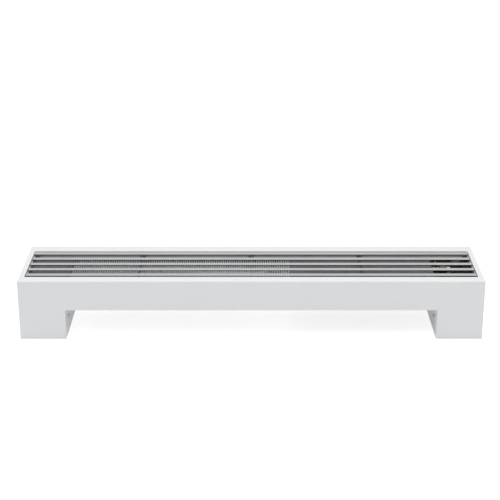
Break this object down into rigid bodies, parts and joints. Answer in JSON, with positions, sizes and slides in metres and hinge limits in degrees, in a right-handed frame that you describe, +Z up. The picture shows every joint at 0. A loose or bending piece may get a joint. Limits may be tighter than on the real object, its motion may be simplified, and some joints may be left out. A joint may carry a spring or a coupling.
{
  "type": "floor-standing convector",
  "caption": "Low floor-standing convector: white portal casing on two box legs, linear aluminium grille over a fin-and-tube heat exchanger, valves in one leg.",
  "frame": {"origin": "middle of the casing's outline on the floor", "axes": "+X along the casing to the right, +Y to the back, +Z up; the front panel faces -Y"},
  "size_m": [1, 0.2, 0.135],
  "materials": {
    "white_powder_coat": "white powder coat on sheet steel, satin",
    "galvanised_steel": "galvanised sheet steel",
    "zinc_plated_steel": "zinc-plated",
    "grey_plate": "matt grey paint on sheet steel",
    "black_rubber": "matt",
    "fin_aluminium": "bare rolled sheet",
    "copper": "drawn copper tube, slightly tarnished",
    "brass": "machined brass",
    "nickel_plated_brass": "nickel-plated",
    "spindle_steel": "turned stainless steel",
    "black_plastic": "moulded plastic, fine grain",
    "satin_aluminium": "satin anodised"
  },
  "bodies": {
    "casing": {"front_panel": "white_powder_coat", "back_panel": "white_powder_coat", "end_panel_right": "white_powder_coat", "end_panel_left": "white_powder_coat", "leg_inner_panel_right": "white_powder_coat", "leg_inner_panel_left": "white_powder_coat", "foot_bracket_right": "galvanised_steel", "foot_bracket_left": "galvanised_steel", "casing_screws": "white_powder_coat", "cradle_rail": "galvanised_steel", "isolation_pads": "black_rubber", "blanking_plate_left": "grey_plate", "blanking_plate_middle": "grey_plate", "plate_rivets": "zinc_plated_steel", "fin_pack": "fin_aluminium", "exchanger_end_plate_left": "galvanised_steel", "exchanger_end_plate_right": "galvanised_steel", "flow_tube": "copper", "return_tube": "copper", "middle_tube_front": "copper", "middle_tube_back": "copper", "return_bend_left_front": "copper", "return_bend_left_back": "copper", "return_bend_right": "copper", "tube_grommets": "black_rubber", "flow_union_nut": "brass", "return_union_nut": "brass", "flow_valve_body": "nickel_plated_brass", "flow_valve_bonnet": "nickel_plated_brass", "return_valve_body": "nickel_plated_brass", "return_valve_bonnet": "nickel_plated_brass", "air_vent_body": "brass", "grille_pads": "black_rubber"},
    "grille": {"grille_end_profile_left": "satin_aluminium", "grille_end_profile_right": "satin_aluminium", "grille_bar_1": "satin_aluminium", "grille_bar_2": "satin_aluminium", "grille_bar_3": "satin_aluminium", "grille_bar_4": "satin_aluminium", "grille_bar_5": "satin_aluminium", "grille_rail_1": "grey_plate", "grille_rail_2": "grey_plate", "grille_rail_3": "grey_plate"},
    "handwheel": {"handwheel": "black_plastic"},
    "flow_spindle": {"flow_valve_spindle": "spindle_steel"},
    "lockshield_cap": {"lockshield_cap": "black_plastic"},
    "lockshield_spindle": {"lockshield_spindle": "spindle_steel"},
    "air_vent_screw": {"air_vent_screw": "nickel_plated_brass"}
  },
  "joints": [
    {"name": "grille_lift", "type": "slide", "parent": "casing", "child": "grille", "axis": [0, 0, 1], "range_m": [0, 0.06]},
    {"name": "handwheel_turn", "type": "hinge", "parent": "casing", "child": "handwheel", "pos_m": [0.46, -0.06, 0.112], "axis": [0, 0, -1], "range_deg": [0, 540]},
    {"name": "flow_spindle_travel", "type": "slide", "parent": "casing", "child": "flow_spindle", "axis": [0, 0, -1], "range_m": [0, 0.0024]},
    {"name": "lockshield_cap_turn", "type": "hinge", "parent": "casing", "child": "lockshield_cap", "pos_m": [0.46, 0.06, 0.112], "axis": [0, 0, 1], "range_deg": [0, 720]},
    {"name": "lockshield_spindle_turn", "type": "hinge", "parent": "casing", "child": "lockshield_spindle", "pos_m": [0.46, 0.06, 0.105], "axis": [0, 0, -1], "range_deg": [0, 1080]},
    {"name": "air_vent_turn", "type": "hinge", "parent": "casing", "child": "air_vent_screw", "pos_m": [0.416, 0.06, 0.108], "axis": [0, 0, 1], "range_deg": [0, 540]}
  ],
  "couplings": [
    {"joint": "flow_spindle_travel", "follows": "handwheel_turn", "m_per_rad": 0.0002546}
  ]
}
